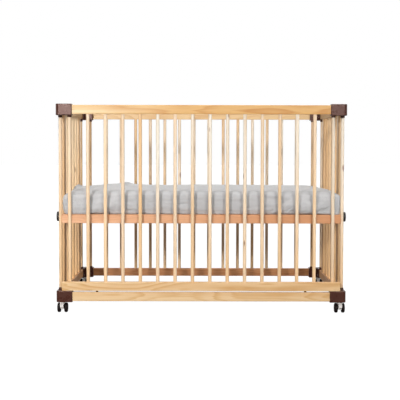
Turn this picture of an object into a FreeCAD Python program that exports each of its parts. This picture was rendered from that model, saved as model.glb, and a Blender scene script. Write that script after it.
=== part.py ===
import FreeCAD, Part
import math
import os

os.makedirs("parts", exist_ok=True)

V = FreeCAD.Vector
X_AXIS = V(1, 0, 0)
Y_AXIS = V(0, 1, 0)
Z_AXIS = V(0, 0, 1)

# ---------------------------------------------------------------- dimensions
# Outside of the frame, measured over the corner caps and blocks.
FRAME_X = 1250.0
FRAME_Y = 785.0
FRAME_Z = 904.0

# L-shaped plastic corners: leg lengths, leg thicknesses and height.
CORNER_LEG = 70.0
CORNER_Z = 49.0
LONG_LEG_T = 40.0
END_LEG_T = 26.0
CORNER_ROUND = 2.5
CORNER_TURN = 14.0
BLOCK_Z = 49.0
SOCKET = 30.0
COLLAR_R = 9.5
COLLAR_Z = 8.0
COLLAR_ROUND = 1.5

# Wooden rails, and how far they sit back from the faces of the corners.
RAIL_T = 20.0
RAIL_Z = 39.0
RAIL_ROUND = 2.5
SETBACK = 2.0
RAIL_LIP = 5.0

# Round rods: balusters and corner uprights.
ROD_R = 7.5
ROD_PITCH_LONG = 75.0
RODS_LONG = 14
ROD_PITCH_END = 95.3
MEMBERS_END = 8
ROD_TENON = 12.0
UPRIGHT_X = 569.0
UPRIGHT_GAP = 0.5
UPRIGHT_TENON = 20.0

# Lift-off front fence.
FENCE_END_GAP = 1.0
FENCE_SEAT_GAP = 0.3
FENCE_LOWER_X = 600.0
PIN_X = 450.0
PIN_R = 5.5
PIN_PLAY = 0.1
PIN_DEPTH = 14.0
PIN_RISE = 12.0
PIN_BEVEL = 1.5

# Latch bolts that slide in the ends of the fence's top rail.
LATCH_R = 4.0
LATCH_TRAVEL = 16.0
LATCH_LEN = 60.0
LATCH_INSET = 0.5
LATCH_HOLE = 20.0
LATCH_KNOB_R = 7.0
LATCH_KNOB_T = 8.0
LATCH_KNOB_ROUND = 1.5
LATCH_STEM_R = 2.5
LATCH_STEM_BACK = 36.0
LATCH_SLOT_PLAY = 0.2

# Slotted end stiles for setting the height of the base.
STILE_T = 16.0
STILE_W = 44.0
SLOT_W = 8.6
SLOT_LOW = 150.0
SLOT_HIGH = 474.0
STILE_ROUND = 2.0
STILE_TENON_T = 8.0
STILE_SHOULDER = 4.0
TENON_PLAY = 0.1
TENON_GAP = 0.5

# Base frame that carries the mattress.
BASE_X = 604.5
BASE_Y = 353.0
BASE_Z = 388.0
BASE_RAIL_T = 20.0
BASE_RAIL_Z = 38.0
BASE_ROUND = 2.0
SLATS = 12
SLAT_W = 62.0
SLAT_T = 12.0
SLAT_MARGIN = 15.0
LEDGER = 15.0
INSERT_R = 6.0

# Height knobs.
KNOB_R = 21.5
KNOB_OUT = 643.5
KNOB_ROUND = 3.0
KNOB_LOBES = 8
LOBE_R = 5.5
LOBE_REACH = 24.5
KNOB_HUB_R = 12.0
KNOB_HUB_T = 3.0
KNOB_GAP = 0.3
KNOB_BOLT_R = 4.0
KNOB_BOLT_BACK = 2.0
KNOB_Z = 409.0

# Mattress.
MATTRESS_X = 1196.0
MATTRESS_Y = 700.0
MATTRESS_Z = 102.0
MATTRESS_GAP = 0.3
PAD_CORNER_R = 35.0
PAD_TOP_R = 26.0
PAD_LOW_R = 8.0

# Twin-wheel casters.
CASTER_X = 602.0
CASTER_Y = 372.0
CASTER_TRAIL = 17.0
WHEEL_R = 21.0
WHEEL_IN = 8.0
WHEEL_OUT = 22.0
WHEEL_ROUND = 5.0
STEM_R = 5.0
STEM_TOP = 88.0
STEM_LOW = 33.5
STEM_GAP = 0.5
AXLE_R = 3.0
AXLE_INSET = 1.0

# Caster housings: a swivel disc, and a body that hangs between the wheels.
# The reaches run from the swivel stem or the axle, outwards and inwards.
DISC_R = 13.0
DISC_T = 6.0
DISC_GAP = 0.3
PLATE_HALF = 7.0
BODY_OUT = 11.0
BODY_IN = 9.0
BODY_LOW = 30.0
FOOT_OUT = 2.0
FOOT_LOW = 16.0

# Brake pedals on the two front casters.
PEDAL_OUT = 10.0
PEDAL_Z = 37.0
PEDAL_PIN_R = 2.0
PEDAL_BARREL_R = 3.6
PEDAL_HALF = 3.0
PEDAL_PLAY = 0.3
PEDAL_ARM_END = 16.0
PEDAL_ARM_LOW = 33.6
PEDAL_PAD_START = 14.4
PEDAL_PAD_END = 20.0
PEDAL_PAD_LOW = 26.0
PEDAL_TOP = 38.0
PEDAL_ROUND = 1.5
PEDAL_SLOT_START = 5.6
PEDAL_SLOT_LOW = 28.0
PEDAL_SLOT_TOP = 42.5
PEDAL_POCKET_START = 10.9
PEDAL_POCKET_END = 14.0

# Screws, and the running clearance on round parts.
SCREW_R = 2.0
SCREW_HEAD_R = 4.0
SCREW_HEAD_T = 2.2
SCREW_SHORT = 7.0
SCREW_BITE = 16.0
CAP_SCREW_DROP = 16.0
BLOCK_SCREW_RISE = 15.0
LONG_SCREW_IN = 22.0
END_SCREW_IN = 13.5
FIT = 0.05

# How far a cutting solid runs on past the face that it opens, and how close
# two places must be to count as one.
PAST = 1.0
SAME = 0.01

# ------------------------------------------------------------ derived planes
HALF_X = FRAME_X / 2
HALF_Y = FRAME_Y / 2
LONG_OUT = HALF_Y - SETBACK
LONG_IN = LONG_OUT - RAIL_T
LONG_MID = (LONG_OUT + LONG_IN) / 2
END_OUT = HALF_X - SETBACK
END_IN = END_OUT - RAIL_T
END_MID = (END_OUT + END_IN) / 2
CAP_Z = FRAME_Z - CORNER_Z
TOP_RAIL_Z = CAP_Z + RAIL_LIP
LOW_RAIL_Z = BLOCK_Z + RAIL_LIP
BLOCK_TOP = BLOCK_Z + CORNER_Z
LEG_END_X = HALF_X - CORNER_LEG
LEG_END_Y = HALF_Y - CORNER_LEG
RAIL_END_X = LEG_END_X + SOCKET
RAIL_END_Y = LEG_END_Y + SOCKET - CORNER_ROUND
UPRIGHT_Y = LONG_IN - UPRIGHT_GAP - ROD_R
END_ROD_Y = [(k + 0.5) * ROD_PITCH_END for k in range(MEMBERS_END // 2)]
STILE_Y = END_ROD_Y[2]
END_UPRIGHT_Y = END_ROD_Y[3]
FENCE_LOW_Z = BLOCK_TOP + FENCE_SEAT_GAP
LATCH_Z = TOP_RAIL_Z + RAIL_Z / 2
STILE_IN = END_MID - STILE_T / 2
STILE_OUT = END_MID + STILE_T / 2
BASE_TOP = BASE_Z + BASE_RAIL_Z
CAP_SCREW_Z = FRAME_Z - CAP_SCREW_DROP
BLOCK_SCREW_Z = BLOCK_Z + BLOCK_SCREW_RISE
SCREW_X = LEG_END_X + LONG_SCREW_IN
SCREW_Y = LEG_END_Y + END_SCREW_IN

CORNERS = {"front_left": (-1, -1), "front_right": (1, -1),
           "rear_left": (-1, 1), "rear_right": (1, 1)}
ENDS = {"left": -1, "right": 1}


# ------------------------------------------------------------------- helpers
def box(x0, x1, y0, y1, z0, z1):
    """Box between two opposite corners, given in any order."""
    low = V(min(x0, x1), min(y0, y1), min(z0, z1))
    return Part.makeBox(abs(x1 - x0), abs(y1 - y0), abs(z1 - z0), low)


def rod(axis, start, length, radius):
    """Cylinder that runs from start along axis."""
    return Part.makeCylinder(radius, length, start, axis)


def rod_z(x, y, z0, z1, radius):
    return rod(Z_AXIS, V(x, y, z0), z1 - z0, radius)


def rod_x(x0, x1, y, z, radius):
    return rod(X_AXIS, V(min(x0, x1), y, z), abs(x1 - x0), radius)


def rod_y(x, y0, y1, z, radius):
    return rod(Y_AXIS, V(x, min(y0, y1), z), abs(y1 - y0), radius)


def edges_along(shape, axis):
    """Straight edges of a shape that run parallel to an axis."""
    found = []
    for edge in shape.Edges:
        ends = edge.Vertexes
        if len(ends) != 2:
            continue
        span = ends[1].Point.sub(ends[0].Point)
        if span.Length > 0 and abs(span.dot(axis)) > span.Length - SAME:
            found.append(edge)
    return found


def rounded(shape, axis, radius):
    """Round over the edges that run along an axis."""
    return shape.makeFillet(radius, edges_along(shape, axis))


def save(node, solids):
    """Write one node: a single solid, or several separate ones."""
    shape = solids[0] if len(solids) == 1 else Part.makeCompound(solids)
    shape.exportStep("parts/" + node + ".step")


def place(sx, sy, x, y):
    return sx * x, sy * y


# ------------------------------------------------------- plastic corner parts
def on_upright(edge, points):
    """True where the middle of an edge is on the vertical through a point."""
    middle = edge.valueAt((edge.FirstParameter + edge.LastParameter) / 2)
    return any(math.hypot(middle.x - p.x, middle.y - p.y) < PAST for p in points)


def corner_body(sx, sy, z0):
    """L-shaped corner with its two legs along the long and the end sides."""
    outline = [(HALF_X, HALF_Y), (LEG_END_X, HALF_Y),
               (LEG_END_X, HALF_Y - LONG_LEG_T),
               (HALF_X - END_LEG_T, HALF_Y - LONG_LEG_T),
               (HALF_X - END_LEG_T, LEG_END_Y), (HALF_X, LEG_END_Y)]
    points = [V(sx * x, sy * y, z0) for x, y in outline]
    leg_ends = points[1:3] + points[4:]
    face = Part.Face(Part.makePolygon(points + points[:1]))
    body = face.extrude(V(0, 0, CORNER_Z))
    body = body.makeFillet(CORNER_TURN, [e for e in body.Edges if on_upright(e, points[:1])])
    rims = [e for e in body.Edges
            if e.BoundBox.ZLength < SAME or on_upright(e, leg_ends)]
    return body.makeFillet(CORNER_ROUND, rims)


def collar(x, y, face_z, direction):
    """Short boss on a corner that grips an upright where it enters."""
    end_z = face_z + direction * COLLAR_Z
    ring = rod_z(x, y, min(face_z, end_z), max(face_z, end_z), COLLAR_R)
    rim = [e for e in ring.Edges
           if e.BoundBox.ZLength < SAME and abs(e.BoundBox.ZMin - end_z) < SAME]
    return ring.makeFillet(COLLAR_ROUND, rim)


def rail_sockets(sx, sy, z0, long_side):
    """Pockets that hold the ends of the rails in one corner."""
    z1 = z0 + RAIL_Z
    cuts = [box(sx * (END_IN - FIT), sx * (END_OUT + FIT),
                sy * (LEG_END_Y - PAST), sy * (RAIL_END_Y + FIT),
                z0 - FIT, z1 + FIT)]
    if long_side:
        cuts.append(box(sx * (LEG_END_X - PAST), sx * (RAIL_END_X + FIT),
                        sy * (LONG_IN - FIT), sy * (LONG_OUT + FIT),
                        z0 - FIT, z1 + FIT))
    return cuts


def screw_holes(sx, sy, z, long_side):
    """Clearance holes for the screws that hold the rails in a corner."""
    r = SCREW_R + FIT
    cuts = [rod_x(sx * (HALF_X - END_LEG_T - PAST), sx * (END_IN + SCREW_BITE),
                  sy * SCREW_Y, z, r)]
    if long_side:
        cuts.append(rod_y(sx * SCREW_X, sy * (HALF_Y - LONG_LEG_T - PAST),
                          sy * (LONG_IN + SCREW_BITE), z, r))
    return cuts


def corner_cap(sx, sy):
    """Top corner. The front ones take a latch bolt in place of a rail."""
    has_rail = sy > 0
    body = corner_body(sx, sy, CAP_Z)
    x, y = place(sx, sy, UPRIGHT_X, UPRIGHT_Y)
    end_x, end_y = place(sx, sy, END_MID, END_UPRIGHT_Y)
    body = body.fuse(collar(x, y, CAP_Z, -1)).fuse(collar(end_x, end_y, CAP_Z, -1))
    low = CAP_Z - COLLAR_Z - PAST
    cuts = rail_sockets(sx, sy, TOP_RAIL_Z, has_rail)
    cuts += screw_holes(sx, sy, CAP_SCREW_Z, has_rail)
    cuts.append(rod_z(x, y, low, CAP_Z + UPRIGHT_TENON + FIT, ROD_R + FIT))
    cuts.append(rod_z(end_x, end_y, low, TOP_RAIL_Z + PAST, ROD_R + FIT))
    if not has_rail:
        cuts.append(rod_x(sx * (LEG_END_X - PAST), sx * (LEG_END_X + LATCH_HOLE),
                          sy * LONG_MID, LATCH_Z, LATCH_R + FIT))
    return body.cut(Part.makeCompound(cuts)).removeSplitter()


def corner_block(sx, sy):
    """Bottom corner, which stands on a caster and carries both rails.

    The front ones have no collar on the long side, where the fence comes down.
    """
    body = corner_body(sx, sy, BLOCK_Z)
    x, y = place(sx, sy, UPRIGHT_X, UPRIGHT_Y)
    end_x, end_y = place(sx, sy, END_MID, END_UPRIGHT_Y)
    body = body.fuse(collar(end_x, end_y, BLOCK_TOP, 1))
    if sy > 0:
        body = body.fuse(collar(x, y, BLOCK_TOP, 1))
    high = BLOCK_TOP + COLLAR_Z + PAST
    cuts = rail_sockets(sx, sy, LOW_RAIL_Z, True)
    cuts += screw_holes(sx, sy, BLOCK_SCREW_Z, True)
    cuts.append(rod_z(x, y, BLOCK_TOP - UPRIGHT_TENON - FIT, high, ROD_R + FIT))
    cuts.append(rod_z(end_x, end_y, BLOCK_TOP - RAIL_LIP - PAST, high, ROD_R + FIT))
    cuts.append(rod_z(sx * CASTER_X, sy * CASTER_Y, BLOCK_Z - PAST,
                      STEM_TOP + STEM_GAP, STEM_R + FIT))
    return body.cut(Part.makeCompound(cuts)).removeSplitter()


def screw(axis, head, length):
    """Pan-head screw whose head rests on a face at the point head."""
    shank = rod(axis, head, length, SCREW_R)
    cap = rod(axis, head.sub(axis * SCREW_HEAD_T), SCREW_HEAD_T, SCREW_HEAD_R)
    return shank.fuse(cap).removeSplitter()


def end_screw(sx, sy, z):
    head = V(sx * (HALF_X - END_LEG_T), sy * SCREW_Y, z)
    return screw(X_AXIS * sx, head, END_LEG_T - SCREW_SHORT)


def long_screw(sx, sy, z):
    head = V(sx * SCREW_X, sy * (HALF_Y - LONG_LEG_T), z)
    return screw(Y_AXIS * sy, head, LONG_LEG_T - SCREW_SHORT)


for corner, (sx, sy) in CORNERS.items():
    save("corner_cap_" + corner, [corner_cap(sx, sy)])
    save("corner_block_" + corner, [corner_block(sx, sy)])

cap_screws = [end_screw(sx, sy, CAP_SCREW_Z) for sx, sy in CORNERS.values()]
cap_screws += [long_screw(sx, 1, CAP_SCREW_Z) for sx in ENDS.values()]
save("cap_screws", cap_screws)
block_screws = [end_screw(sx, sy, BLOCK_SCREW_Z) for sx, sy in CORNERS.values()]
block_screws += [long_screw(sx, sy, BLOCK_SCREW_Z) for sx, sy in CORNERS.values()]
save("block_screws", block_screws)


# ----------------------------------------------------------------- the rails
def long_rail(half_length, sy, z0):
    """Rail along a long side, with its long edges rounded over."""
    blank = box(-half_length, half_length, sy * LONG_IN, sy * LONG_OUT,
                z0, z0 + RAIL_Z)
    return rounded(blank, X_AXIS, RAIL_ROUND)


def long_rod_x():
    """Positions of the balusters of a long side."""
    first = -(RODS_LONG - 1) / 2 * ROD_PITCH_LONG
    return [first + k * ROD_PITCH_LONG for k in range(RODS_LONG)]


def rod_holes(sy, z0, z1):
    return [rod_z(x, sy * LONG_MID, z0, z1, ROD_R + FIT) for x in long_rod_x()]


def long_screw_holes(sy, z):
    return [rod_y(sx * SCREW_X, sy * (LONG_IN - PAST), sy * (LONG_IN + SCREW_BITE),
                  z, SCREW_R + FIT) for sx in ENDS.values()]


stretcher_top = LOW_RAIL_Z + RAIL_Z
front_stretcher = long_rail(RAIL_END_X, -1, LOW_RAIL_Z)
pin_holes = [rod_z(sx * PIN_X, -LONG_MID, stretcher_top - PIN_DEPTH,
                   stretcher_top + PAST, PIN_R + FIT) for sx in ENDS.values()]
front_cuts = pin_holes + long_screw_holes(-1, BLOCK_SCREW_Z)
save("front_stretcher", [front_stretcher.cut(Part.makeCompound(front_cuts))])

rear_stretcher = long_rail(RAIL_END_X, 1, LOW_RAIL_Z)
rear_cuts = rod_holes(1, stretcher_top - ROD_TENON, stretcher_top + PAST)
rear_cuts += long_screw_holes(1, BLOCK_SCREW_Z)
save("rear_stretcher", [rear_stretcher.cut(Part.makeCompound(rear_cuts))])

rear_top_rail = long_rail(RAIL_END_X, 1, TOP_RAIL_Z)
rear_top_cuts = rod_holes(1, TOP_RAIL_Z - PAST, TOP_RAIL_Z + ROD_TENON)
rear_top_cuts += long_screw_holes(1, CAP_SCREW_Z)
save("rear_top_rail", [rear_top_rail.cut(Part.makeCompound(rear_top_cuts))])

save("rear_balusters",
     [rod_z(x, LONG_MID, stretcher_top - ROD_TENON, TOP_RAIL_Z + ROD_TENON, ROD_R)
      for x in long_rod_x()])


# ------------------------------------------------------- lift-off front fence
fence_low_top = FENCE_LOW_Z + RAIL_Z
fence_end = LEG_END_X - FENCE_END_GAP
latch_back = fence_end - LATCH_TRAVEL - LATCH_LEN
stem_x = fence_end - LATCH_STEM_BACK

fence_lower = long_rail(FENCE_LOWER_X, -1, FENCE_LOW_Z)
lower_cuts = rod_holes(-1, fence_low_top - ROD_TENON, fence_low_top + PAST)
lower_cuts += [rod_z(sx * PIN_X, -LONG_MID, FENCE_LOW_Z - PAST,
                     FENCE_LOW_Z + PIN_DEPTH, PIN_R + PIN_PLAY)
               for sx in ENDS.values()]
save("fence_lower_rail", [fence_lower.cut(Part.makeCompound(lower_cuts))])

fence_top = long_rail(fence_end, -1, TOP_RAIL_Z)
top_cuts = rod_holes(-1, TOP_RAIL_Z - PAST, TOP_RAIL_Z + ROD_TENON)
slot_r = LATCH_STEM_R + LATCH_SLOT_PLAY
slot_back = stem_x - LATCH_INSET
slot_front = stem_x + LATCH_TRAVEL + LATCH_INSET
for sx in ENDS.values():
    top_cuts.append(rod_x(sx * latch_back, sx * (fence_end + PAST), -LONG_MID,
                          LATCH_Z, LATCH_R + FIT))
    top_cuts += [rod_y(sx * x, -LONG_MID, -LONG_IN + PAST, LATCH_Z, slot_r)
                 for x in (slot_back, slot_front)]
    top_cuts.append(box(sx * slot_back, sx * slot_front, -LONG_MID, -LONG_IN + PAST,
                        LATCH_Z - slot_r, LATCH_Z + slot_r))
for cut in top_cuts:
    fence_top = fence_top.cut(cut)
save("fence_top_rail", [fence_top])

save("fence_balusters",
     [rod_z(x, -LONG_MID, fence_low_top - ROD_TENON, TOP_RAIL_Z + ROD_TENON, ROD_R)
      for x in long_rod_x()])


def locating_pin(sx):
    """Upright pin in the stretcher with a bevelled tip for the lower rail."""
    pin = rod_z(sx * PIN_X, -LONG_MID, stretcher_top - PIN_DEPTH + FIT,
                FENCE_LOW_Z + PIN_RISE, PIN_R)
    tip = [e for e in pin.Edges
           if e.BoundBox.ZMin > FENCE_LOW_Z and e.BoundBox.ZLength < SAME]
    return pin.makeChamfer(PIN_BEVEL, tip)


save("locating_pins", [locating_pin(sx) for sx in ENDS.values()])


def latch_bolt(sx):
    """Round bolt with a thumb knob on the inner face of the rail."""
    front = fence_end - LATCH_INSET
    bolt = rod_x(sx * (front - LATCH_LEN), sx * front, -LONG_MID, LATCH_Z, LATCH_R)
    knob_face = -LONG_IN + LATCH_INSET
    stem = rod_y(sx * stem_x, -LONG_MID, knob_face + PAST, LATCH_Z, LATCH_STEM_R)
    knob = rod_y(sx * stem_x, knob_face, knob_face + LATCH_KNOB_T, LATCH_Z, LATCH_KNOB_R)
    rim = [e for e in knob.Edges if e.BoundBox.YLength < SAME]
    knob = knob.makeFillet(LATCH_KNOB_ROUND, rim)
    return bolt.fuse(stem).fuse(knob).removeSplitter()


for end, sx in ENDS.items():
    save("latch_bolt_" + end, [latch_bolt(sx)])


# ----------------------------------------------------------------- end panels
def end_rail(sx, z0):
    """Rail along an end, with its long edges rounded over."""
    blank = box(sx * END_IN, sx * END_OUT, -RAIL_END_Y, RAIL_END_Y, z0, z0 + RAIL_Z)
    return rounded(blank, Y_AXIS, RAIL_ROUND)


def end_screw_holes(sx, z):
    return [rod_x(sx * (END_IN - PAST), sx * (END_IN + SCREW_BITE), sy * SCREW_Y, z,
                  SCREW_R + FIT) for sy in (-1, 1)]


def end_sockets(sx, z0, z1):
    """Holes for the end rods and uprights, and mortises for the stiles."""
    cuts = []
    for sy in (-1, 1):
        for y in (END_ROD_Y[0], END_ROD_Y[1], END_UPRIGHT_Y):
            cuts.append(rod_z(sx * END_MID, sy * y, z0, z1, ROD_R + FIT))
        cuts.append(box(sx * (END_MID - STILE_TENON_T / 2 - FIT),
                        sx * (END_MID + STILE_TENON_T / 2 + FIT),
                        sy * STILE_Y - STILE_W / 2 + STILE_SHOULDER,
                        sy * STILE_Y + STILE_W / 2 - STILE_SHOULDER, z0, z1))
    return cuts


def slotted_stile(sx, sy):
    """Flat upright board with a long slot for the height knob's bolt."""
    y = sy * STILE_Y
    low = stretcher_top
    high = TOP_RAIL_Z
    inside = sx * (STILE_IN - PAST)
    outside = sx * (STILE_OUT + PAST)
    board = box(sx * STILE_IN, sx * STILE_OUT, y - STILE_W / 2, y + STILE_W / 2,
                low, high)
    board = rounded(board, Z_AXIS, STILE_ROUND)
    tenon_half = STILE_W / 2 - STILE_SHOULDER - TENON_PLAY
    tenon_reach = ROD_TENON - TENON_GAP
    tenon = box(sx * (END_MID - STILE_TENON_T / 2), sx * (END_MID + STILE_TENON_T / 2),
                y - tenon_half, y + tenon_half, low - tenon_reach, high + tenon_reach)
    board = board.fuse(tenon).removeSplitter()
    half = SLOT_W / 2
    board = board.cut(box(inside, outside, y - half, y + half, SLOT_LOW, SLOT_HIGH))
    for z in (SLOT_LOW, SLOT_HIGH):
        board = board.cut(rod_x(inside, outside, y, z, half))
    return board


for end, sx in ENDS.items():
    low_cuts = end_sockets(sx, stretcher_top - ROD_TENON, stretcher_top + PAST)
    low_cuts += end_screw_holes(sx, BLOCK_SCREW_Z)
    low_rail = end_rail(sx, LOW_RAIL_Z)
    save(end + "_bottom_rail", [low_rail.cut(Part.makeCompound(low_cuts))])
    high_cuts = end_sockets(sx, TOP_RAIL_Z - PAST, TOP_RAIL_Z + ROD_TENON)
    high_cuts += end_screw_holes(sx, CAP_SCREW_Z)
    high_rail = end_rail(sx, TOP_RAIL_Z)
    save(end + "_top_rail", [high_rail.cut(Part.makeCompound(high_cuts))])
    save(end + "_balusters",
         [rod_z(sx * END_MID, sy * y, stretcher_top - ROD_TENON,
                TOP_RAIL_Z + ROD_TENON, ROD_R)
          for y in END_ROD_Y[:2] for sy in (-1, 1)])
    save(end + "_slotted_stiles", [slotted_stile(sx, sy) for sy in (-1, 1)])

for corner, (sx, sy) in CORNERS.items():
    x, y = place(sx, sy, UPRIGHT_X, UPRIGHT_Y)
    long_upright = rod_z(x, y, BLOCK_TOP - UPRIGHT_TENON, CAP_Z + UPRIGHT_TENON,
                         ROD_R)
    end_upright = rod_z(sx * END_MID, sy * END_UPRIGHT_Y,
                        stretcher_top - ROD_TENON, TOP_RAIL_Z + ROD_TENON, ROD_R)
    save("uprights_" + corner, [long_upright, end_upright])


# ----------------------------------------------------------------- bed base
base_in_y = BASE_Y - BASE_RAIL_T
base_in_x = BASE_X - BASE_RAIL_T
slat_z = BASE_TOP - SLAT_T

for name, sy in (("front", -1), ("rear", 1)):
    blank = box(-BASE_X, BASE_X, sy * base_in_y, sy * BASE_Y, BASE_Z, BASE_TOP)
    save("base_" + name + "_rail", [rounded(blank, X_AXIS, BASE_ROUND)])

for end, sx in ENDS.items():
    rail = box(sx * base_in_x, sx * BASE_X, -base_in_y, base_in_y, BASE_Z, BASE_TOP)
    for sy in (-1, 1):
        rail = rail.cut(rod_x(sx * (base_in_x - PAST), sx * (BASE_X + PAST),
                              sy * STILE_Y, KNOB_Z, INSERT_R + FIT))
    save("base_" + end + "_rail", [rail])

ledger_z = slat_z - LEDGER
ledgers = [box(-base_in_x, base_in_x, sy * (base_in_y - LEDGER), sy * base_in_y,
               ledger_z, slat_z) for sy in (-1, 1)]
save("base_ledgers", ledgers)
save("base_centre_rail", [box(-base_in_x, base_in_x, -RAIL_T / 2, RAIL_T / 2,
                              BASE_Z, slat_z)])

slat_span = 2 * (base_in_x - SLAT_MARGIN) - SLAT_W
slat_x = [-slat_span / 2 + k * slat_span / (SLATS - 1) for k in range(SLATS)]
save("base_slats", [box(x - SLAT_W / 2, x + SLAT_W / 2, -base_in_y, base_in_y,
                        slat_z, BASE_TOP) for x in slat_x])


def base_insert(sx, sy):
    """Sleeve in the base's side rail that the knob's bolt turns in."""
    sleeve = rod_x(sx * base_in_x, sx * BASE_X, sy * STILE_Y, KNOB_Z, INSERT_R)
    bore = rod_x(sx * (base_in_x - PAST), sx * (BASE_X + PAST), sy * STILE_Y, KNOB_Z,
                 KNOB_BOLT_R + FIT)
    return sleeve.cut(bore)


save("base_inserts", [base_insert(sx, sy) for sx, sy in CORNERS.values()])


def height_knob(sx, sy):
    """Lobed knob with its bolt, set against the outside of the stile."""
    y = sy * STILE_Y
    hub_x = STILE_OUT + KNOB_GAP
    grip_x = hub_x + KNOB_HUB_T
    grip = rod_x(sx * grip_x, sx * KNOB_OUT, y, KNOB_Z, KNOB_R)
    rim = [e for e in grip.Edges if e.BoundBox.XLength < SAME]
    grip = grip.makeFillet(KNOB_ROUND, rim)
    for k in range(KNOB_LOBES):
        angle = 2 * math.pi * (k + 0.5) / KNOB_LOBES
        cut_y = y + LOBE_REACH * math.cos(angle)
        cut_z = KNOB_Z + LOBE_REACH * math.sin(angle)
        grip = grip.cut(rod_x(sx * (grip_x - PAST), sx * (KNOB_OUT + PAST),
                              cut_y, cut_z, LOBE_R))
    hub = rod_x(sx * hub_x, sx * (grip_x + PAST), y, KNOB_Z, KNOB_HUB_R)
    bolt = rod_x(sx * (base_in_x + KNOB_BOLT_BACK), sx * (grip_x + PAST), y, KNOB_Z,
                 KNOB_BOLT_R)
    return grip.fuse(hub).fuse(bolt).removeSplitter()


for corner, (sx, sy) in CORNERS.items():
    save("height_knob_" + corner, [height_knob(sx, sy)])


# ------------------------------------------------------------------- mattress
def mattress():
    """Soft pad with rounded upright corners and a fuller top edge."""
    z0 = BASE_TOP + MATTRESS_GAP
    pad = box(-MATTRESS_X / 2, MATTRESS_X / 2, -MATTRESS_Y / 2, MATTRESS_Y / 2,
              z0, z0 + MATTRESS_Z)
    pad = rounded(pad, Z_AXIS, PAD_CORNER_R)
    top = [e for e in pad.Edges if e.BoundBox.ZMin > z0 + MATTRESS_Z - SAME]
    pad = pad.makeFillet(PAD_TOP_R, top)
    low = [e for e in pad.Edges if e.BoundBox.ZMax < z0 + SAME]
    return pad.makeFillet(PAD_LOW_R, low)


save("mattress", [mattress()])


# ------------------------------------------------------------------- casters
def caster_wheels(x, y):
    """Two wheels side by side on one axle."""
    wheels = []
    for side in (-1, 1):
        disc = rod_x(x + side * WHEEL_IN, x + side * WHEEL_OUT, y, WHEEL_R, WHEEL_R)
        rims = [e for e in disc.Edges if e.BoundBox.XLength < SAME]
        disc = disc.makeFillet(WHEEL_ROUND, rims)
        bore = rod_x(x + side * (WHEEL_IN - PAST), x + side * (WHEEL_OUT + PAST), y,
                     WHEEL_R, AXLE_R + FIT)
        wheels.append(disc.cut(bore))
    return wheels


def across(x, half):
    """The two ends of something that is centred on a caster's plane."""
    return x - half, x + half


def caster_housing(x, y, sy, has_pedal):
    """Swivel disc with a narrow body that hangs between the wheels."""
    axle_y = y - sy * CASTER_TRAIL
    plate = across(x, PLATE_HALF)
    wide = across(x, PLATE_HALF + PAST)
    disc_low = BLOCK_Z - DISC_T
    disc = rod_z(x, y, disc_low, BLOCK_Z - DISC_GAP, DISC_R)
    body = box(*plate, y + sy * BODY_OUT, axle_y - sy * BODY_IN,
               BODY_LOW, disc_low + PAST)
    foot = box(*plate, y + sy * FOOT_OUT, axle_y - sy * BODY_IN,
               FOOT_LOW, BODY_LOW + PAST)
    housing = disc.fuse(body).fuse(foot).removeSplitter()
    housing = housing.cut(rod_z(x, y, STEM_LOW - STEM_GAP, BLOCK_Z + PAST, STEM_R + FIT))
    housing = housing.cut(rod_x(*wide, axle_y, WHEEL_R, AXLE_R + FIT))
    if has_pedal:
        pin_y = y + sy * PEDAL_OUT
        pocket_end = y + sy * PEDAL_POCKET_END
        slot = box(*across(x, PEDAL_HALF + PEDAL_PLAY), y + sy * PEDAL_SLOT_START,
                   pocket_end, PEDAL_SLOT_LOW, PEDAL_SLOT_TOP)
        pocket = box(*wide, y + sy * PEDAL_POCKET_START, pocket_end,
                     PEDAL_SLOT_LOW, PEDAL_SLOT_TOP)
        pin = rod_x(*wide, pin_y, PEDAL_Z, PEDAL_PIN_R + FIT)
        ears = rod_x(*plate, pin_y, PEDAL_Z, PEDAL_BARREL_R).cut(slot)
        housing = housing.cut(slot).cut(pocket).fuse(ears).cut(pin).removeSplitter()
    return housing


def caster_pins(x, y, sy, has_pedal):
    """Steel swivel stem and axle, with the pedal's pin where there is one."""
    axle_y = y - sy * CASTER_TRAIL
    pins = [rod_z(x, y, STEM_LOW, STEM_TOP, STEM_R),
            rod_x(*across(x, WHEEL_OUT - AXLE_INSET), axle_y, WHEEL_R, AXLE_R)]
    if has_pedal:
        pins.append(rod_x(*across(x, PLATE_HALF - AXLE_INSET / 2), y + sy * PEDAL_OUT,
                          PEDAL_Z, PEDAL_PIN_R))
    return pins


def brake_pedal(x, y, sy):
    """Small foot lever that tips on its pin."""
    pin_y = y + sy * PEDAL_OUT
    narrow = across(x, PEDAL_HALF)
    barrel = rod_x(*narrow, pin_y, PEDAL_Z, PEDAL_BARREL_R)
    arm = box(*narrow, pin_y, y + sy * PEDAL_ARM_END, PEDAL_ARM_LOW, PEDAL_TOP)
    pad = box(*across(x, PLATE_HALF), y + sy * PEDAL_PAD_START, y + sy * PEDAL_PAD_END,
              PEDAL_PAD_LOW, PEDAL_TOP)
    pad = rounded(pad, X_AXIS, PEDAL_ROUND)
    hole = rod_x(*across(x, PLATE_HALF + PAST), pin_y, PEDAL_Z, PEDAL_PIN_R + FIT)
    return barrel.fuse(arm).fuse(pad).cut(hole).removeSplitter()


for corner, (sx, sy) in CORNERS.items():
    x, y = place(sx, sy, CASTER_X, CASTER_Y)
    front = sy < 0
    save("caster_wheels_" + corner, caster_wheels(x, y - sy * CASTER_TRAIL))
    save("caster_housing_" + corner, [caster_housing(x, y, sy, front)])
    save("caster_pins_" + corner, caster_pins(x, y, sy, front))
    if front:
        save("brake_pedal_" + corner, [brake_pedal(x, y, sy)])
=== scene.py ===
import math

import bmesh
import bpy
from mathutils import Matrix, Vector, noise


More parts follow.
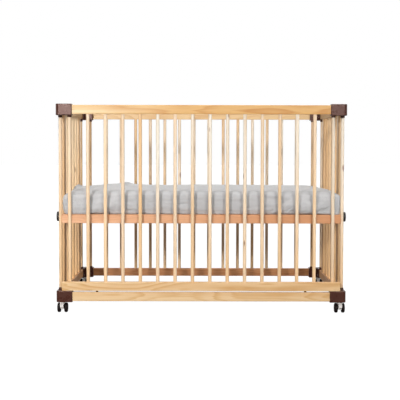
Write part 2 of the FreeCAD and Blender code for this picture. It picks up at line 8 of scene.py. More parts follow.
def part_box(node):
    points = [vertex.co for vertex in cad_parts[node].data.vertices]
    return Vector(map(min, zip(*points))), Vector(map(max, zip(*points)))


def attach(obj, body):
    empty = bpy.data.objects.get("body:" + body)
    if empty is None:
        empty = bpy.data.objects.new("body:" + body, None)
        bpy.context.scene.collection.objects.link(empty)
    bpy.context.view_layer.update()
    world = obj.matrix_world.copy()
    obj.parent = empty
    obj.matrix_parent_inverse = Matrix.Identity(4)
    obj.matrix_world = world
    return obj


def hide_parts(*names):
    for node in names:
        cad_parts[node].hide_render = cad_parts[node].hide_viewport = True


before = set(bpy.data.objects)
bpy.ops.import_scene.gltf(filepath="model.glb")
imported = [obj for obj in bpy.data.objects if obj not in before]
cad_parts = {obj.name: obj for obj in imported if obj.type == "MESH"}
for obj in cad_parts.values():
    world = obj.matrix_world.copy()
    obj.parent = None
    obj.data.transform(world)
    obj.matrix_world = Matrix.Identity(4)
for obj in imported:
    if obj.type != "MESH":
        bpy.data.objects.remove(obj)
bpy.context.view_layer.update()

# ------------------------------------------------------------------ settings
# Metres and radians. The camera looks along +Y at the front fence.
CAMERA_BACK = 3.847
CAMERA_HEIGHT = 0.7227
CAMERA_PITCH = math.radians(2.41)
CAMERA_LENS = 80.8
CAMERA_ROLL = math.radians(-0.11)
CAMERA_SHIFT = (-0.0034, -0.0399)

CORNERS = ("front_left", "front_right", "rear_left", "rear_right")
ENDS = ("left", "right")
MM = 0.001

KEY_LEFT = 16.0
KEY_RIGHT = 9.6
KEY_LEFT_AIM = (-0.75, -0.35, 0.52)
KEY_RIGHT_AIM = (0.65, -0.35, 0.52)
KEY_LEFT_PLACE = (-1.50, -5.6, 2.0)
KEY_RIGHT_PLACE = (1.50, -5.6, 2.2)
KEY_WIDTH = 0.24
KEY_HEIGHT = 0.45
KEY_SPREAD = math.radians(50)
SIDE = 16.0
SIDE_OUT = 3.4
SIDE_FRONT = 0.9
SIDE_UP = 0.85
SIDE_AIM = 0.6
SIDE_SIZE = 1.6
BACK = 24.0
BACK_PLACE = (0.0, 4.5, 1.8)
BACK_WIDTH = 3.0
BACK_HEIGHT = 2.0
MIDDLE_UP = 0.5
CEILING = 2.5
CEILING_ANGLE = math.radians(50)
CEILING_TILT = math.radians(4)
SKY = 0.08
HORIZON = 0.34
FLOOR_GLOW = 1.15
FLOOR_VEIL = 0.88
FLOOR_HALF = 30.0


# ------------------------------------------------------------ node materials
class Graph:
    """One node material, built up a node at a time."""

    def __init__(self, name):
        self.material = bpy.data.materials.new(name)
        self.material.use_nodes = True
        self.tree = self.material.node_tree
        self.tree.nodes.clear()
        output = self.tree.nodes.new("ShaderNodeOutputMaterial")
        self.shader = self.tree.nodes.new("ShaderNodeBsdfPrincipled")
        self.tree.links.new(self.shader.outputs["BSDF"], output.inputs["Surface"])

    def feed(self, socket, value):
        if isinstance(value, bpy.types.NodeSocket):
            self.tree.links.new(value, socket)
        else:
            socket.default_value = value

    def add(self, kind, inputs=(), **settings):
        node = self.tree.nodes.new("ShaderNode" + kind)
        for key, value in settings.items():
            setattr(node, key, value)
        for key, value in dict(inputs).items():
            self.feed(node.inputs[key], value)
        return node

    def place(self):
        """Object coordinates, which stay on the piece when it moves."""
        return self.add("TexCoord").outputs["Object"]

    def mapped(self, vector, scale, location=(0, 0, 0)):
        node = self.add("Mapping", {"Vector": vector, "Scale": scale, "Location": location})
        return node.outputs["Vector"]

    def noise(self, vector, scale=1.0, detail=2.0, roughness=0.5, distortion=0.0):
        node = self.add("TexNoise", {"Vector": vector, "Scale": scale, "Detail": detail,
                                     "Roughness": roughness, "Distortion": distortion})
        return node.outputs["Fac"]

    def math(self, operation, a, b=0.0):
        node = self.add("Math", operation=operation)
        self.feed(node.inputs[0], a)
        self.feed(node.inputs[1], b)
        return node.outputs[0]

    def vector_math(self, operation, a, b):
        node = self.add("VectorMath", operation=operation)
        self.feed(node.inputs[0], a)
        self.feed(node.inputs[1], b)
        return node.outputs[0]

    def spread(self, value, low, high, to_low=0.0, to_high=1.0):
        """Map low..high of a value to to_low..to_high, held at the ends."""
        node = self.add("MapRange", {"Value": value, "From Min": low, "From Max": high,
                                     "To Min": to_low, "To Max": to_high})
        return node.outputs["Result"]

    def mix(self, factor, a, b, blend_type="MIX"):
        node = self.add("Mix", data_type="RGBA", blend_type=blend_type)
        self.feed(node.inputs[0], factor)
        self.feed(node.inputs[6], a)
        self.feed(node.inputs[7], b)
        return node.outputs[2]

    def ramp(self, factor, stops):
        """Colour ramp through (position, colour) stops."""
        node = self.add("ValToRGB", {"Fac": factor})
        elements = node.color_ramp.elements
        while len(elements) < len(stops):
            elements.new(0.5)
        for element, (position, colour) in zip(elements, stops):
            element.position = position
            element.color = colour
        return node.outputs["Color"]

    def bump(self, height, strength, distance):
        node = self.add("Bump", {"Height": height, "Strength": strength, "Distance": distance})
        self.feed(self.shader.inputs["Normal"], node.outputs["Normal"])

    def set(self, **values):
        for key, value in values.items():
            self.feed(self.shader.inputs[key.replace("_", " ")], value)


def colour(r, g, b):
    """Linear colour from 0-255 display values."""
    return tuple(((c / 255) ** 2.2) for c in (r, g, b)) + (1.0,)


GRAIN_SCALE = {"X": (0.022, 1.0, 1.0), "Y": (1.0, 0.022, 1.0), "Z": (1.0, 1.0, 0.022)}
GRAIN_AXES = {"X": "XYZ", "Y": "YXZ", "Z": "ZXY"}
KNOT_SCALE = {"X": (4.5, 12.0, 12.0), "Y": (12.0, 4.5, 12.0), "Z": (12.0, 12.0, 4.5)}
ROD_SHIFT = 0.14
PITH_WAVES = 1.3
SWAY = 0.016
RING_WARP = 0.004
KNOT_REACH = 0.22
KNOT_PUSH = 0.010
KNOT_CORE = (0.045, 0.085)
LATE_WOOD = ((0.0, 0.0), (0.42, 0.12), (0.86, 1.0), (1.0, 0.0))
# How far a turn goes towards the warm tone; on rods and the front top rail the turn is painted light.
TURN_MOST = 0.85
TINT_RANGE = (0.93, 1.05)


def scaled(stretch, factor):
    return tuple(factor * s for s in stretch)


def pith_distance(g, p, axis, pith, seed):
    """Position along the fibres, and the distance from the wandering pith line."""
    split = g.add("SeparateXYZ", {"Vector": p})
    along, first, second = (split.outputs[letter] for letter in GRAIN_AXES[axis])
    sides = []
    for place, centre, offset in ((first, pith[0], 3.7), (second, pith[1], 9.1)):
        w = g.math("MULTIPLY_ADD", along, PITH_WAVES)
        w.node.inputs[2].default_value = seed + offset
        wander = g.add("TexNoise", {"W": w, "Scale": 1.0, "Detail": 1.5}, noise_dimensions="1D")
        sway = g.spread(wander.outputs["Fac"], 0.2, 0.8, -SWAY, SWAY)
        sides.append(g.math("ADD", g.math("SUBTRACT", place, centre), sway))
    spoke = g.add("CombineXYZ", {"X": sides[0], "Y": sides[1]}).outputs["Vector"]
    radius = g.add("VectorMath", {0: spoke}, operation="LENGTH").outputs["Value"]
    warp = g.noise(g.mapped(p, scaled(GRAIN_SCALE[axis], 45.0), (seed, 2.0, 0)), detail=2.0)
    return along, g.math("ADD", radius, g.spread(warp, 0.2, 0.8, -RING_WARP, RING_WARP))


def growth_rings(g, radius, ring, contrast):
    """Dark late wood of each year's ring, and its strength, which varies by year."""
    phase = g.math("DIVIDE", radius, ring * MM)
    growth = g.math("FRACT", phase)
    year = g.add("TexWhiteNoise", {"W": g.math("FLOOR", phase)}, noise_dimensions="1D")
    late = g.ramp(growth, [(place, (v, v, v, 1.0)) for place, v in LATE_WOOD])
    strength = g.spread(year.outputs["Value"], 0.0, 1.0, 0.25 * contrast, contrast)
    return late, g.math("MULTIPLY", late, strength)


def wood(name, axis, tones, pith, ring=6.5, contrast=0.75, cell=None, seed=0.0, turn=None,
         knots=True):
    """Lacquered pine whose fibres run along an axis.

    Growth rings, ring millimetres apart, circle a pith line at pith, which
    wanders slowly along the piece, so a face cuts them into long bands, arches
    and points. cell, where given, is the spacing of the rods in a node, and each
    rod then gets its own grain and tint. turn is the stretch over which a piece
    goes from its pale tone to its warm tone; on the rods and the front top rail
    this is painted light, paler where the light falls brightest.
    """
    pale, warm, deep = tones
    g = Graph(name)
    p = g.place()
    stretch = GRAIN_SCALE[axis]
    if cell:
        snapped = g.vector_math("FLOOR", g.vector_math("DIVIDE", p, cell), (0, 0, 0))
        rod = g.add("TexWhiteNoise", {"Vector": snapped}, noise_dimensions="3D")
        shift = g.vector_math("MULTIPLY", rod.outputs["Color"], (ROD_SHIFT, ROD_SHIFT, ROD_SHIFT))
        p = g.vector_math("ADD", p, shift)
        tint = rod.outputs["Value"]
    else:
        tint = g.noise(g.mapped(p, scaled(stretch, 3.0), (seed, seed, seed)))
    along, radius = pith_distance(g, p, axis, pith, seed)
    if knots:
        knot = g.add("TexVoronoi", {"Vector": g.mapped(p, KNOT_SCALE[axis], (seed, 1.0, seed)),
                                    "Scale": 1.0}).outputs["Distance"]
        radius = g.math("ADD", radius, g.spread(knot, 0.0, KNOT_REACH, KNOT_PUSH, 0.0))
    late, band = growth_rings(g, radius, ring, contrast)
    drift = g.noise(g.mapped(p, scaled(stretch, 30.0), (seed, 0, seed)), detail=3.0)
    body = g.mix(g.spread(drift, 0.34, 0.66), pale, warm)
    # Paler towards one end of the piece, warmer towards the other: painted light where the turn follows
    # the fall of the light.
    if turn:
        body = g.mix(g.spread(along, *turn, 0.0, TURN_MOST), body, warm)
    surface = g.mix(band, body, deep)
    fibre = g.noise(g.mapped(p, scaled(stretch, 900.0), (0, 0, 0)), detail=4.0, roughness=0.6)
    surface = g.mix(1.0, surface, g.spread(fibre, 0.3, 0.7, *TINT_RANGE), "MULTIPLY")
    surface = g.mix(1.0, surface, g.spread(tint, 0.0, 1.0, *TINT_RANGE), "MULTIPLY")
    if knots:
        surface = g.mix(g.spread(knot, *KNOT_CORE, 0.85, 0.0), surface, KNOT_BROWN)
    g.set(Base_Color=surface, Roughness=g.spread(fibre, 0.3, 0.7, 0.46, 0.38))
    g.set(Coat_Weight=0.20, Coat_Roughness=0.42, Specular_IOR_Level=0.4)
    g.bump(g.math("ADD", fibre, g.math("MULTIPLY", late, 0.4)), 0.10, 0.0005)
    return g.material


SPARK_SCALE = (1800.0, 1800.0, 1800.0)


def moulded(name, base, speck, rough, shine=0.45, gleam=(1.0, 1.0, 1.0, 1.0)):
    """Moulded plastic with a fine spark-eroded texture and slight mottling."""
    g = Graph(name)
    p = g.place()
    mottle = g.spread(g.noise(g.mapped(p, (40, 40, 40)), detail=3.0), 0.35, 0.65)
    fine = g.noise(g.mapped(p, SPARK_SCALE), detail=2.0, roughness=0.6)
    tone = g.mix(g.spread(fine, 0.35, 0.7), base, speck)
    g.set(Base_Color=g.mix(g.math("MULTIPLY", mottle, 0.35), base, tone))
    g.set(Roughness=g.spread(mottle, 0.0, 1.0, rough - 0.05, rough + 0.06))
    g.set(Specular_IOR_Level=shine, Specular_Tint=gleam)
    g.bump(fine, 0.25, 0.0002)
    return g.material


def metal(name, tone, rough, axis_scale):
    """Plated or turned metal with fine lines across its length."""
    g = Graph(name)
    p = g.place()
    lines = g.noise(g.mapped(p, axis_scale), detail=3.0)
    g.set(Base_Color=g.mix(g.spread(lines, 0.3, 0.7), tone, tuple(0.8 * c for c in tone[:3]) + (1.0,)))
    g.set(Metallic=1.0, Roughness=g.spread(lines, 0.3, 0.7, rough - 0.05, rough + 0.08))
    g.bump(lines, 0.1, 0.0002)
    return g.material


def heather_knit(name):
    """Grey melange jersey: mixed light and dark yarn with a fine knit rib."""
    g = Graph(name)
    p = g.place()
    light = (0.52, 0.52, 0.525, 1.0)
    mid = (0.43, 0.43, 0.433, 1.0)
    dark = (0.28, 0.28, 0.287, 1.0)
    yarn = g.noise(g.mapped(p, (520, 180, 520)), detail=3.0, roughness=0.7)
    fleck = g.noise(g.mapped(p, (1400, 600, 900), (3, 7, 1)), detail=2.0, roughness=0.6)
    cloud = g.noise(g.mapped(p, (14, 14, 14)), detail=3.0)
    tone = g.ramp(yarn, [(0.30, dark), (0.48, mid), (0.66, light)])
    tone = g.mix(g.spread(fleck, 0.56, 0.70, 0.0, 0.45), tone, dark)
    tone = g.mix(g.spread(cloud, 0.3, 0.7, 0.0, 0.25), tone, light)
    rib = g.add("TexWave", {"Vector": p, "Scale": 95.0, "Distortion": 1.5,
                            "Detail": 1.0, "Detail Scale": 60.0}, bands_direction="DIAGONAL")
    g.set(Base_Color=tone, Roughness=0.92, Sheen_Weight=0.18, Sheen_Roughness=0.45)
    g.set(Specular_IOR_Level=0.15)
    g.bump(g.math("ADD", yarn, g.math("MULTIPLY", rib.outputs["Fac"], 0.35)), 0.5, 0.0005)
    return g.material


# ------------------------------------------------------------------- palette
KNOT_BROWN = (0.22, 0.085, 0.030, 1.0)
PINE = ((0.72, 0.505, 0.28, 1.0), (0.632, 0.378, 0.167, 1.0), (0.505, 0.24, 0.046, 1.0))
PINE_GOLD = ((0.81, 0.635, 0.365, 1.0), (0.65, 0.345, 0.086, 1.0), (0.51, 0.21, 0.028, 1.0))
PINE_REAR = ((0.785, 0.54, 0.27, 1.0), (0.715, 0.435, 0.19, 1.0), (0.57, 0.30, 0.10, 1.0))
# Lighter, warmer copy of the pine for the end bottom rails: painted light on their shaded inner faces.
PINE_PAINTED_LIGHT = ((0.86, 0.50, 0.24, 1.0), (0.78, 0.40, 0.155, 1.0), (0.64, 0.27, 0.06, 1.0))
# Darker copy of the pine for the rear stretcher: painted shade, where the mattress keeps the front light
# off it.
PINE_PAINTED_SHADE = ((0.49, 0.215, 0.080, 1.0), (0.435, 0.180, 0.062, 1.0), (0.35, 0.122, 0.029, 1.0))
PINE_END_ROD = ((0.78, 0.60, 0.39, 1.0), (0.74, 0.44, 0.20, 1.0), (0.58, 0.31, 0.10, 1.0))
PINE_ROD = ((0.86, 0.79, 0.67, 1.0), (0.78, 0.50, 0.255, 1.0), (0.66, 0.43, 0.23, 1.0))
BASE_TIMBER = ((0.76, 0.43, 0.245, 1.0), (0.56, 0.245, 0.10, 1.0), (0.48, 0.215, 0.085, 1.0))


def pith_of(node, behind, below):
    """A pith line beside a long rail: how far behind its middle, and below."""
    low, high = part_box(node)
    middle = (low + high) / 2
    side = -1 if middle.y > 0 else 1
    return (middle.y + side * behind, middle.z - below)


ROD_CELL_LONG = (0.075, 10.0, 10.0)
ROD_CELL_END = (10.0, 0.0953, 10.0)
SLAT_CELL = (0.097, 10.0, 10.0)
# Rods paler at the top and warmer lower down: painted light, the tops being lit brightest.
ROD_TURN = (0.80, 0.15)

# Front top rail paler at its left end: painted highlight of the left front light.
front_top_wood = wood("pine_front_top", "X", PINE_GOLD, pith_of("fence_top_rail", 0.045, 0.004), seed=2.0,
                      ring=8.0, contrast=0.95, turn=(-0.55, -0.10), knots=False)
front_low_wood = wood("pine_front_low", "X", PINE, pith_of("fence_lower_rail", 0.050, 0.012), seed=5.0,
                      contrast=0.95, knots=False)
stretcher_wood = wood("pine_stretcher", "X", PINE, pith_of("front_stretcher", 0.055, -0.006), seed=9.0,
                      knots=False)
rear_wood = wood("pine_rear", "X", PINE_REAR, pith_of("rear_top_rail", 0.045, 0.010), seed=12.0)
# Rear stretcher in the darker pine copy: painted shade.
rear_low_shaded_wood = wood("pine_rear_low_painted_shade", "X", PINE_PAINTED_SHADE, pith_of("rear_stretcher", 0.050, 0.008), seed=15.0)
end_wood = wood("pine_end", "Y", PINE, (0.57, 0.86), seed=17.0)
# End bottom rails in the lighter pine copy: painted light.
end_low_lit_wood = wood("pine_end_low_painted_light", "Y", PINE_PAINTED_LIGHT, (0.57, 0.06), seed=19.0)
rod_wood = wood("pine_rod", "Z", PINE_ROD, (0.02, -0.30), ring=5.0, contrast=0.4, cell=ROD_CELL_LONG,
                turn=ROD_TURN)
end_rod_wood = wood("pine_end_rod", "Z", PINE_END_ROD, (0.55, 0.0), ring=5.0, contrast=0.4,
                    cell=ROD_CELL_END, turn=ROD_TURN)
stile_wood = wood("pine_stile", "Z", PINE_END_ROD, (0.55, 0.1), contrast=0.6, cell=ROD_CELL_END,
                  turn=ROD_TURN)
# Base timber paler at the left end and warmer towards the right.
base_wood = wood("base_timber", "X", BASE_TIMBER, pith_of("base_front_rail", 0.05, 0.03), ring=5.0,
                 contrast=0.45, seed=21.0, turn=(-0.60, 0.35))
slat_wood = wood("base_slat", "Y", BASE_TIMBER, (0.0, 0.35), ring=5.0, contrast=0.45, cell=SLAT_CELL)
corner_plastic = moulded("corner_plastic", (0.048, 0.011, 0.005, 1), (0.070, 0.022, 0.013, 1), 0.30,
                         shine=0.52, gleam=(1.0, 0.73, 0.66, 1.0))
knob_plastic = moulded("knob_plastic", colour(34, 28, 27), colour(58, 50, 47), 0.48)
wheel_plastic = moulded("wheel_plastic", colour(27, 17, 16), colour(44, 31, 29), 0.60, shine=0.2)
grey_plastic = moulded("grey_plastic", colour(214, 208, 203), colour(196, 190, 184), 0.45)
steel = metal("zinc_steel", colour(196, 197, 200), 0.32, (900, 900, 120))
brass = metal("turned_brass", colour(212, 176, 110), 0.30, (120, 900, 900))
jersey = heather_knit("heather_jersey")


SMOOTH_ANGLE = math.radians(35)


def dress(node, material):
    """Give a CAD node its finish and smooth shading on its round faces."""
    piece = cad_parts[node]
    piece.data.materials.clear()
    piece.data.materials.append(material)
    for polygon in piece.data.polygons:
        polygon.material_index = 0
    piece.data.shade_smooth()
    piece.data.set_sharp_from_angle(angle=SMOOTH_ANGLE)


dress("fence_top_rail", front_top_wood)
dress("fence_lower_rail", front_low_wood)
dress("front_stretcher", stretcher_wood)
dress("rear_top_rail", rear_wood)
dress("rear_stretcher", rear_low_shaded_wood)
for node in ("fence_balusters", "rear_balusters"):
    dress(node, rod_wood)
for end in ENDS:
    dress(end + "_top_rail", end_wood)
    dress(end + "_bottom_rail", end_low_lit_wood)
    dress(end + "_balusters", end_rod_wood)
    dress(end + "_slotted_stiles", stile_wood)
    dress("latch_bolt_" + end, steel)
    dress("base_" + end + "_rail", slat_wood)
for node in ("base_front_rail", "base_rear_rail", "base_centre_rail", "base_ledgers"):
    dress(node, base_wood)
dress("base_slats", slat_wood)
dress("base_inserts", brass)
dress("locating_pins", corner_plastic)
dress("cap_screws", steel)
dress("block_screws", steel)
for corner in CORNERS:
    dress("corner_cap_" + corner, corner_plastic)
    dress("corner_block_" + corner, corner_plastic)
    dress("uprights_" + corner, rod_wood)
    dress("height_knob_" + corner, knob_plastic)
    dress("caster_wheels_" + corner, wheel_plastic)
    dress("caster_housing_" + corner, grey_plastic)
    dress("caster_pins_" + corner, steel)
for corner in CORNERS[:2]:
    dress("brake_pedal_" + corner, grey_plastic)


# ------------------------------------------------------------------ mattress
# The cover starts as a rounded block, is blown up a little as cloth, and then
# gets its humps, creases and seams. Lengths are metres.
PAD_LEFT = -0.6040
PAD_RIGHT = 0.6085
PAD_DEPTH = 0.3500
PAD_GROW = 0.008
PAD_TURN = 0.015
PAD_EDGE = 0.017
PAD_FOOT = 0.018
PAD_VOXEL = 0.007
PAD_FRAMES = 20
PAD_LIMIT_X = 0.6045
PAD_LIMIT_Y = 0.3530
HALF = 0.5

# Cloth: pressure, stretch, stiffness and solver steps.
PAD_PRESSURE = 4.0
PAD_SHRINK = -0.035
PAD_BENDING = 0.15
PAD_QUALITY = 4

# Humps on top: place, reach along X and Y, and height.
HUMPS = (
    ((-0.440, 0.27), (0.110, 0.10), 0.008),
    ((-0.377, 0.29), (0.030, 0.07), 0.009),
    ((-0.592, -0.05), (0.040, 0.085), 0.021),
    ((-0.550, 0.30), (0.090, 0.12), -0.006),
    ((0.590, 0.12), (0.060, 0.20), -0.006),
    ((0.120, 0.18), (0.200, 0.12), 0.003),
)
# Creases on the front face: both ends as (x, height), width and depth.
CREASES = (
    ((0.366, 0.438), (0.394, 0.456), 0.0032, 0.0062),
    ((0.384, 0.436), (0.404, 0.448), 0.0028, 0.0050),
    ((0.506, 0.435), (0.530, 0.452), 0.0032, 0.0066),
    ((0.523, 0.437), (0.554, 0.459), 0.0034, 0.0068),
    ((0.300, 0.441), (0.322, 0.446), 0.0030, 0.0038),
    ((0.176, 0.452), (0.215, 0.455), 0.0034, 0.0034),
    ((-0.235, 0.478), (-0.185, 0.481), 0.0038, 0.0032),
    ((-0.110, 0.470), (-0.060, 0.474), 0.0038, 0.0034),
    ((-0.120, 0.490), (-0.040, 0.487), 0.0040, 0.0020),
    ((0.010, 0.482), (0.050, 0.478), 0.0036, 0.0022),
    ((-0.330, 0.440), (-0.290, 0.448), 0.0032, 0.0036),
    ((-0.520, 0.438), (-0.495, 0.455), 0.0032, 0.0038),
)
SEAM_HEIGHT = 0.013
SEAM_WIDTH = 0.0022
SEAM_DEPTH = 0.0014
CORNER_SEAM_WIDTH = 0.14

# Unevenness of the fabric: heights of broad lumps, long ripples and fine crimps.
LUMP_HEIGHT = 0.0026
RIPPLE_HEIGHT = 0.0020
CRIMP_HEIGHT = 0.0008
# Gathers along the foot, near the corners.
GATHER_HEIGHT = 0.0013
GATHER_REACH = 0.03
GATHER_CORNER = 0.56
GATHER_SPREAD = 0.07
# Humps fade in from this share of the height, over the same share again.
LIFT_SHARE = 0.35
FOOT_SHARE = 0.02
SAME_PLACE = 1e-5


def pad_blank():
    """Rounded block, a little lower than the space the mattress fills."""
    low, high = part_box("mattress")
    reach = PAD_DEPTH - PAD_GROW * HALF
    near = Vector((PAD_LEFT + PAD_GROW * HALF, -reach, low.z))
    far = Vector((PAD_RIGHT - PAD_GROW * HALF, reach, high.z - PAD_GROW))
    mesh = bpy.data.meshes.new("mattress_cover")
    bm = bmesh.new()
    bmesh.ops.create_cube(bm, size=1.0)
    for vertex in bm.verts:
        share = vertex.co + Vector((HALF, HALF, HALF))
        vertex.co = near + Vector(a * b for a, b in zip(share, far - near))

    def round_over(edges, offset, segments):
        bmesh.ops.bevel(bm, geom=edges, offset=offset, segments=segments, profile=HALF,
                        affect="EDGES")

    def outline(z, facing):
        """Edges at a height, between a face that looks up or down and one that doesn't."""
        found = []
        for edge in bm.edges:
            level = all(abs(v.co.z - z) < SAME_PLACE for v in edge.verts)
            flat = {face.normal.z * facing > HALF for face in edge.link_faces}
            if level and len(flat) == 2:
                found.append(edge)
        return found

    upright = [e for e in bm.edges if abs(e.verts[0].co.z - e.verts[1].co.z) > PAD_EDGE]
    round_over(upright, PAD_TURN, 6)
    round_over(outline(far.z, 1), PAD_EDGE, 5)
    round_over(outline(near.z, -1), PAD_FOOT, 4)
    bm.to_mesh(mesh)
    bm.free()
    piece = bpy.data.objects.new("mattress_cover", mesh)
    bpy.context.scene.collection.objects.link(piece)
    return piece


def apply_modifiers(piece):
    """Keep a piece's evaluated shape and drop its modifiers."""
    graph = bpy.context.evaluated_depsgraph_get()
    mesh = bpy.data.meshes.new_from_object(piece.evaluated_get(graph))
    piece.modifiers.clear()
    piece.data = mesh


def inflate(piece):
    """Blow the cover up as cloth, holding its underside, and cap the swell."""
    remesh = piece.modifiers.new("remesh", "REMESH")
    remesh.mode = "VOXEL"
    remesh.voxel_size = PAD_VOXEL
    apply_modifiers(piece)
    start = [v.co.copy() for v in piece.data.vertices]
    floor_z = min(v.z for v in start)
    held = piece.vertex_groups.new(name="underside")
    held.add([i for i, v in enumerate(start) if v.z < floor_z + PAD_VOXEL * HALF], 1.0, "REPLACE")
    cloth = piece.modifiers.new("cloth", "CLOTH")
    settings = cloth.settings
    settings.use_pressure = True
    settings.uniform_pressure_force = PAD_PRESSURE
    settings.effector_weights.gravity = 0.0
    settings.vertex_group_mass = "underside"
    settings.shrink_min = PAD_SHRINK
    settings.quality = PAD_QUALITY
    settings.bending_stiffness = PAD_BENDING
    cloth.collision_settings.use_collision = False
    cloth.point_cache.frame_end = PAD_FRAMES
    scene = bpy.context.scene
    for step in range(1, PAD_FRAMES + 1):
        scene.frame_set(step)
    apply_modifiers(piece)
    for vertex, old in zip(piece.data.vertices, start):
        move = vertex.co - old
        if move.length > PAD_GROW:
            vertex.co = old + move.normalized() * PAD_GROW
    piece.vertex_groups.clear()
    scene.frame_set(1)


def bell(distance, reach):
    return math.exp(-(distance / reach) ** 2)


def crease_depth(x, z, crease):
    """Depth of one crease at a place on the front face."""
    (x0, z0), (x1, z1), width, depth = crease
    run = (x1 - x0) ** 2 + (z1 - z0) ** 2
    share = min(1.0, max(0.0, ((x - x0) * (x1 - x0) + (z - z0) * (z1 - z0)) / run))
    gap = math.hypot(x - x0 - share * (x1 - x0), z - z0 - share * (z1 - z0))
    return depth * bell(gap, width) * math.sin(math.pi * (0.15 + 0.7 * share))


def relief(point, normal, low_z):
    """How far the fabric stands off its smooth shape at a point."""
    x, y, z = point
    sideways = 1.0 - abs(normal.z)
    lumps = noise.noise(Vector((x * 5.0, y * 6.0, z * 9.0 + 4.0))) * LUMP_HEIGHT
    ripple = noise.noise(Vector((x * 9.0, y * 9.0, z * 80.0))) * RIPPLE_HEIGHT * sideways
    crimp = noise.noise(Vector((x * 38.0 + y * 20.0, y * 34.0 - x * 12.0, z * 60.0))) * CRIMP_HEIGHT
    height = lumps + ripple + crimp
    if normal.y < -0.4:
        height -= sum(crease_depth(x, z, crease) for crease in CREASES)
    height -= SEAM_DEPTH * bell(z - low_z - SEAM_HEIGHT, SEAM_WIDTH) * sideways
    on_corner = max(abs(normal.x), abs(normal.y)) < 0.86 and sideways > HALF
    if on_corner:
        height -= SEAM_DEPTH * bell(abs(normal.x) - abs(normal.y), CORNER_SEAM_WIDTH)
    wave = math.sin((x + y) * 260.0 + 2.0 * math.sin(x * 31.0))
    gather = sideways * bell(z - low_z, GATHER_REACH) * wave
    height += GATHER_HEIGHT * gather * bell(abs(abs(x) - GATHER_CORNER), GATHER_SPREAD)
    return height * (1.0 if normal.z < HALF else 0.9)


def sculpt(piece):
    """Give the cover its humps, creases and seams, and leave its underside flat."""
    low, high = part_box("mattress")
    normals = [v.normal.copy() for v in piece.data.vertices]
    for vertex, normal in zip(piece.data.vertices, normals):
        x, y, z = vertex.co
        share = min(1.0, max(0.0, (z - low.z) / (high.z - low.z)))
        if share <= FOOT_SHARE:
            continue
        lift = sum(height * bell(x - place[0], reach[0]) * bell(y - place[1], reach[1])
                   for place, reach, height in HUMPS)
        move = normal * relief(vertex.co, normal, low.z)
        move.z += lift * min(1.0, max(0.0, (share - LIFT_SHARE) / LIFT_SHARE))
        vertex.co += move


def settle(piece):
    """Keep the cover inside the end rods and uprights and on the slats."""
    low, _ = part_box("mattress")
    for vertex in piece.data.vertices:
        x, y, z = vertex.co
        vertex.co.x = max(-PAD_LIMIT_X, min(PAD_LIMIT_X, x))
        vertex.co.y = max(-PAD_LIMIT_Y, min(PAD_LIMIT_Y, y))
        vertex.co.z = max(low.z, z)


def mattress_cover():
    piece = pad_blank()
    inflate(piece)
    subdivide = piece.modifiers.new("subdivide", "SUBSURF")
    subdivide.levels = 1
    subdivide.render_levels = 1
    apply_modifiers(piece)
    sculpt(piece)
    settle(piece)
    piece.data.materials.append(jersey)
    piece.data.shade_smooth()
    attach(piece, "mattress_pad")
    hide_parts("mattress")


mattress_cover()


# ------------------------------------------------------------- camera, stage
def make_camera():
    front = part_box("corner_cap_front_left")[0].y
    data = bpy.data.cameras.new("camera")
    data.lens = CAMERA_LENS
    data.shift_x, data.shift_y = CAMERA_SHIFT
    camera = bpy.data.objects.new("camera", data)
    camera.location = (0.0, front - CAMERA_BACK, CAMERA_HEIGHT)
    camera.rotation_euler = (math.pi / 2 - CAMERA_PITCH, CAMERA_ROLL, 0.0)
    bpy.context.scene.collection.objects.link(camera)
    bpy.context.scene.camera = camera


def softbox(name, place, target, width, height, power, spread=math.pi):
    """Rectangular studio light aimed at a point."""
    data = bpy.data.lights.new(name, "AREA")
    data.shape = "RECTANGLE"
    data.size = width
    data.size_y = height
    data.energy = power
    data.spread = spread
    lamp = bpy.data.objects.new(name, data)
    lamp.location = place
    aim = Vector(target) - Vector(place)
    lamp.rotation_euler = aim.to_track_quat("-Z", "Y").to_euler()
    bpy.context.scene.collection.objects.link(lamp)


def make_world():
    """Plain white to look at, and dim as a light, brighter near the horizon."""
    world = bpy.data.worlds.new("studio")
    world.use_nodes = True
    tree = world.node_tree
    background = tree.nodes["Background"]
    background.inputs["Color"].default_value = (1.0, 1.0, 1.0, 1.0)
    ray = tree.nodes.new("ShaderNodeTexCoord")
    split = tree.nodes.new("ShaderNodeSeparateXYZ")
    tree.links.new(ray.outputs["Generated"], split.inputs["Vector"])
    fade = tree.nodes.new("ShaderNodeMapRange")
    for socket, value in (("From Min", 0.0), ("From Max", 0.5), ("To Min", HORIZON), ("To Max", SKY)):
        fade.inputs[socket].default_value = value
    tree.links.new(split.outputs["Z"], fade.inputs["Value"])
    path = tree.nodes.new("ShaderNodeLightPath")
    pick = tree.nodes.new("ShaderNodeMix")
    pick.inputs[3].default_value = 1.0
    tree.links.new(path.outputs["Is Camera Ray"], pick.inputs[0])
    tree.links.new(fade.outputs["Result"], pick.inputs[2])
    tree.links.new(pick.outputs[0], background.inputs["Strength"])
    bpy.context.scene.world = world


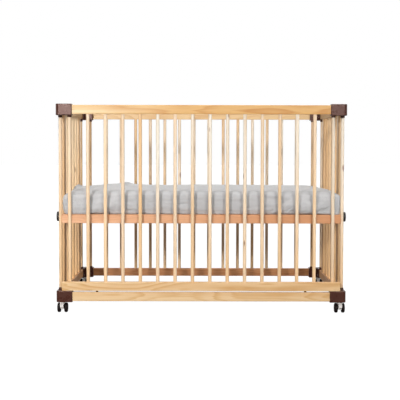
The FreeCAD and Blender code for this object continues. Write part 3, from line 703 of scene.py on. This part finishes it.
def floor_paint():
    """Matt off-white paint that stays pale to look at, with a faint shadow."""
    g = Graph("studio_floor")
    paint = g.noise(g.mapped(g.place(), (60, 60, 60)), detail=2.0)
    g.set(Base_Color=g.mix(g.spread(paint, 0.3, 0.7), (0.29, 0.29, 0.29, 1), (0.31, 0.31, 0.31, 1)))
    g.set(Roughness=0.9, Specular_IOR_Level=0.1)
    glow = g.add("Emission", {"Color": (1, 1, 1, 1), "Strength": FLOOR_GLOW})
    path = g.add("LightPath")
    seen = g.math("MULTIPLY", path.outputs["Is Camera Ray"], FLOOR_VEIL)
    both = g.add("MixShader")
    g.feed(both.inputs[0], seen)
    g.feed(both.inputs[1], g.shader.outputs["BSDF"])
    g.feed(both.inputs[2], glow.outputs["Emission"])
    output = next(n for n in g.tree.nodes if n.type == "OUTPUT_MATERIAL")
    g.feed(output.inputs["Surface"], both.outputs["Shader"])
    return g.material


def make_stage():
    """Pale studio floor, a white surround, two directional front lights and soft ones around."""
    mesh = bpy.data.meshes.new("floor")
    bm = bmesh.new()
    bmesh.ops.create_grid(bm, x_segments=1, y_segments=1, size=FLOOR_HALF)
    bm.to_mesh(mesh)
    bm.free()
    floor = bpy.data.objects.new("floor", mesh)
    bpy.context.scene.collection.objects.link(floor)
    floor.data.materials.append(floor_paint())
    make_world()
    softbox("key_left", KEY_LEFT_PLACE, KEY_LEFT_AIM, KEY_WIDTH, KEY_HEIGHT, KEY_LEFT, KEY_SPREAD)
    softbox("key_right", KEY_RIGHT_PLACE, KEY_RIGHT_AIM, KEY_WIDTH, KEY_HEIGHT, KEY_RIGHT, KEY_SPREAD)
    for end, side in (("left", -1), ("right", 1)):
        place = (side * SIDE_OUT, -SIDE_FRONT, SIDE_UP)
        softbox("side_" + end, place, (-side * SIDE_AIM, 0.0, MIDDLE_UP), SIDE_SIZE, SIDE_SIZE, SIDE)
    softbox("back", BACK_PLACE, (0.0, 0.0, MIDDLE_UP), BACK_WIDTH, BACK_HEIGHT, BACK)
    data = bpy.data.lights.new("ceiling", "SUN")
    data.energy = CEILING
    data.angle = CEILING_ANGLE
    lamp = bpy.data.objects.new("ceiling", data)
    lamp.rotation_euler = (CEILING_TILT, 0.0, 0.0)
    bpy.context.scene.collection.objects.link(lamp)


make_camera()
make_stage()
bpy.context.scene.view_settings.view_transform = "Standard"
